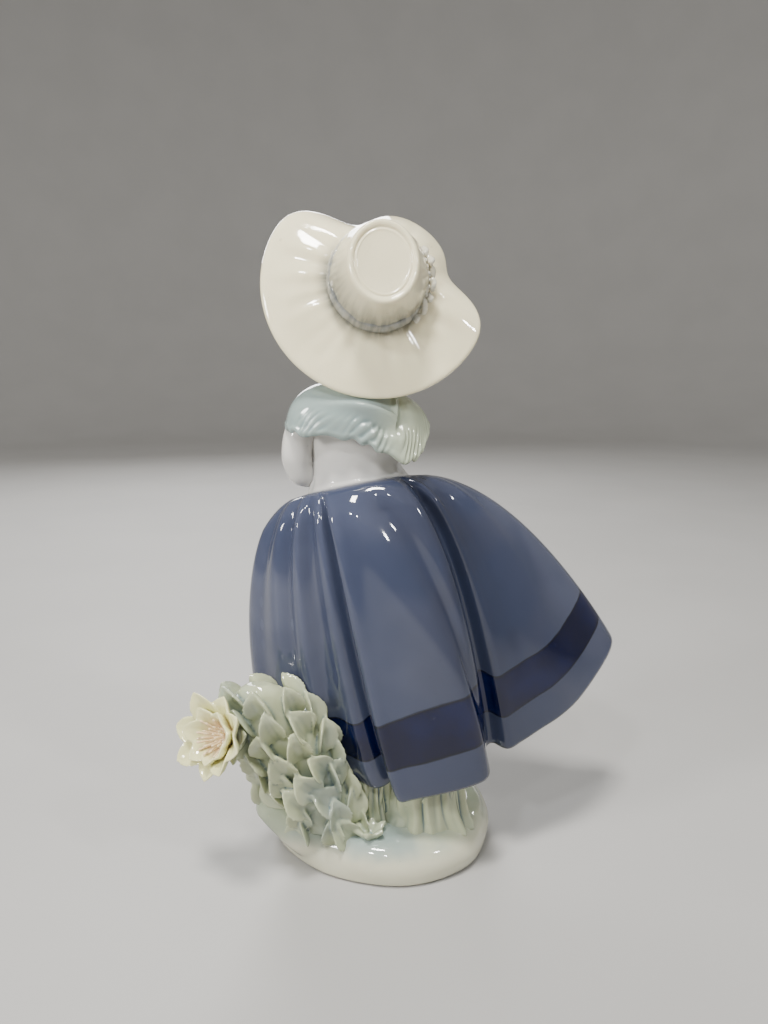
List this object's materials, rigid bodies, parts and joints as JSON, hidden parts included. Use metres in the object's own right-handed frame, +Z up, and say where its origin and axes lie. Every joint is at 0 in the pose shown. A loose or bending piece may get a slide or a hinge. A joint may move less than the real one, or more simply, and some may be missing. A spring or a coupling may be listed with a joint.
{
  "type": "porcelain figurine",
  "caption": "Glazed porcelain figurine of a girl in a wide floppy sun hat, fringed shawl and wind-blown pleated skirt, standing on a mound beside a leafy bush with a bloom; a shelf ornament.",
  "frame": {"origin": "centre of the flat foot face that the figurine stands on", "axes": "+Z up from the foot to the hat; the girl faces -Y; her left side and the bush are towards +X"},
  "size_m": [0.1218, 0.0664, 0.1787],
  "materials": {
    "base_glaze": "clear gloss glaze over ivory and pale green",
    "foliage_glaze": "clear gloss glaze over pale grey green",
    "stocking_glaze": "clear gloss glaze over white",
    "shoe_glaze": "clear gloss glaze over brown",
    "skirt_glaze": "clear gloss glaze over grey blue with a navy band",
    "underskirt_glaze": "clear gloss glaze over white",
    "blouse_glaze": "clear gloss glaze over pale grey white",
    "skin_glaze": "clear gloss glaze over pale flesh",
    "hair_glaze": "clear gloss glaze over light brown",
    "hat_glaze": "clear gloss glaze over ivory",
    "ribbon_glaze": "clear gloss glaze over pale grey blue",
    "shawl_glaze": "clear gloss glaze over pale celadon",
    "petal_glaze": "clear gloss glaze over cream yellow",
    "bloom_heart_glaze": "clear gloss glaze over pinkish cream"
  },
  "bodies": {
    "root": {"base_mound": "base_glaze", "support_post": "base_glaze", "grass_back": "foliage_glaze", "grass_side": "foliage_glaze", "left_leg": "stocking_glaze", "right_leg": "stocking_glaze", "left_shoe": "shoe_glaze", "right_shoe": "shoe_glaze", "skirt": "skirt_glaze", "petticoat": "underskirt_glaze", "torso": "blouse_glaze", "neck": "skin_glaze", "head": "skin_glaze", "hair": "hair_glaze", "left_sleeve": "blouse_glaze", "right_sleeve": "blouse_glaze", "left_hand": "skin_glaze", "right_hand": "skin_glaze", "shawl": "shawl_glaze", "shawl_fringe": "shawl_glaze", "hat_crown": "hat_glaze", "hat_brim": "hat_glaze", "hat_ribbon": "ribbon_glaze", "hat_bow": "ribbon_glaze", "bush": "foliage_glaze", "bloom_calyx": "foliage_glaze", "bloom_outer_petals": "petal_glaze", "bloom_inner_petals": "petal_glaze", "bloom_heart": "bloom_heart_glaze", "bloom_stamens": "bloom_heart_glaze"}
  },
  "joints": []
}
